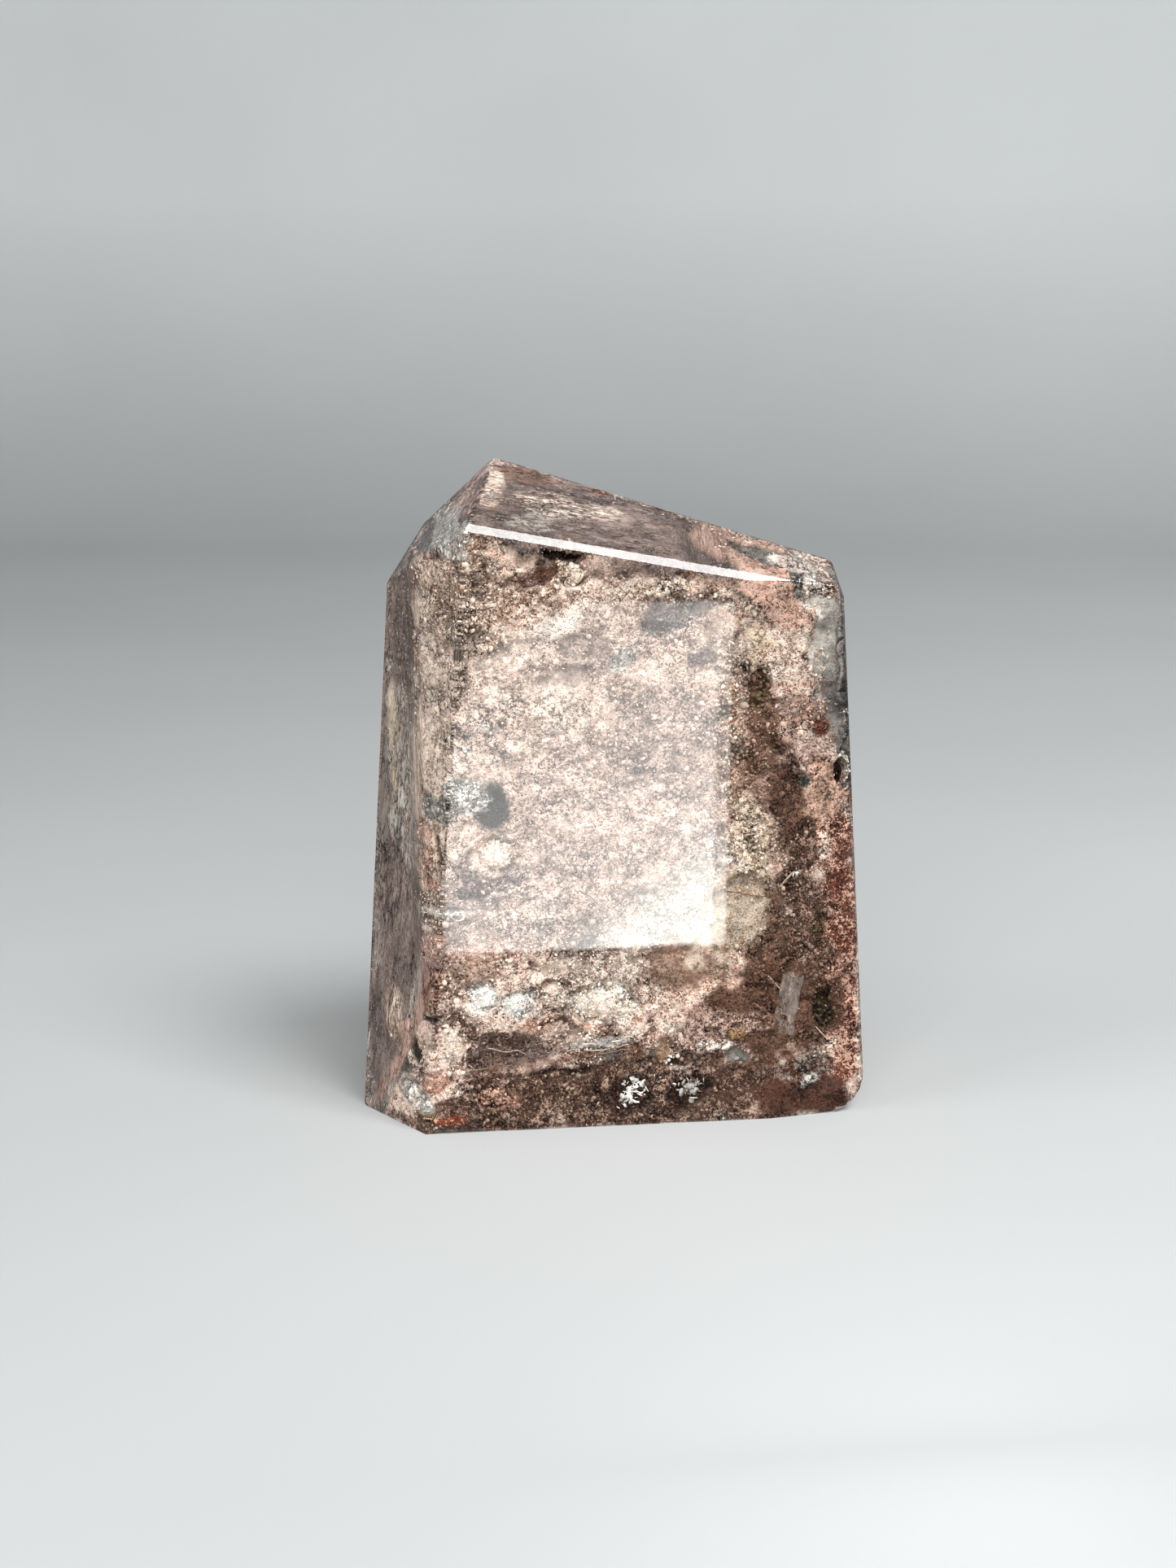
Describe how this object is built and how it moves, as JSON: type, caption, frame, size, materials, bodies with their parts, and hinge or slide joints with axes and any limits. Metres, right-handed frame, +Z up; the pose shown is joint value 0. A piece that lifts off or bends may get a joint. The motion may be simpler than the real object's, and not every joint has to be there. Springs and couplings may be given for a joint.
{
  "type": "polished quartz crystal point with garden inclusions",
  "caption": "Polished freeform quartz point, cut flat underneath to stand, with a slanting faceted top and sandy mineral inclusions inside clear crystal.",
  "frame": {"origin": "on the flat cut foot, under the middle of the stone's outline", "axes": "+Z up along the crystal, from the cut foot to the apex; -Y is the widest polished facet, +X is the low end of the slanting top"},
  "size_m": [0.054, 0.036, 0.0703],
  "materials": {
    "clear_quartz": "polished, clear with a faint smoky tint",
    "inclusion": "matt mineral grains sealed in the quartz"
  },
  "bodies": {
    "root": {"crystal": "clear_quartz"}
  },
  "joints": []
}
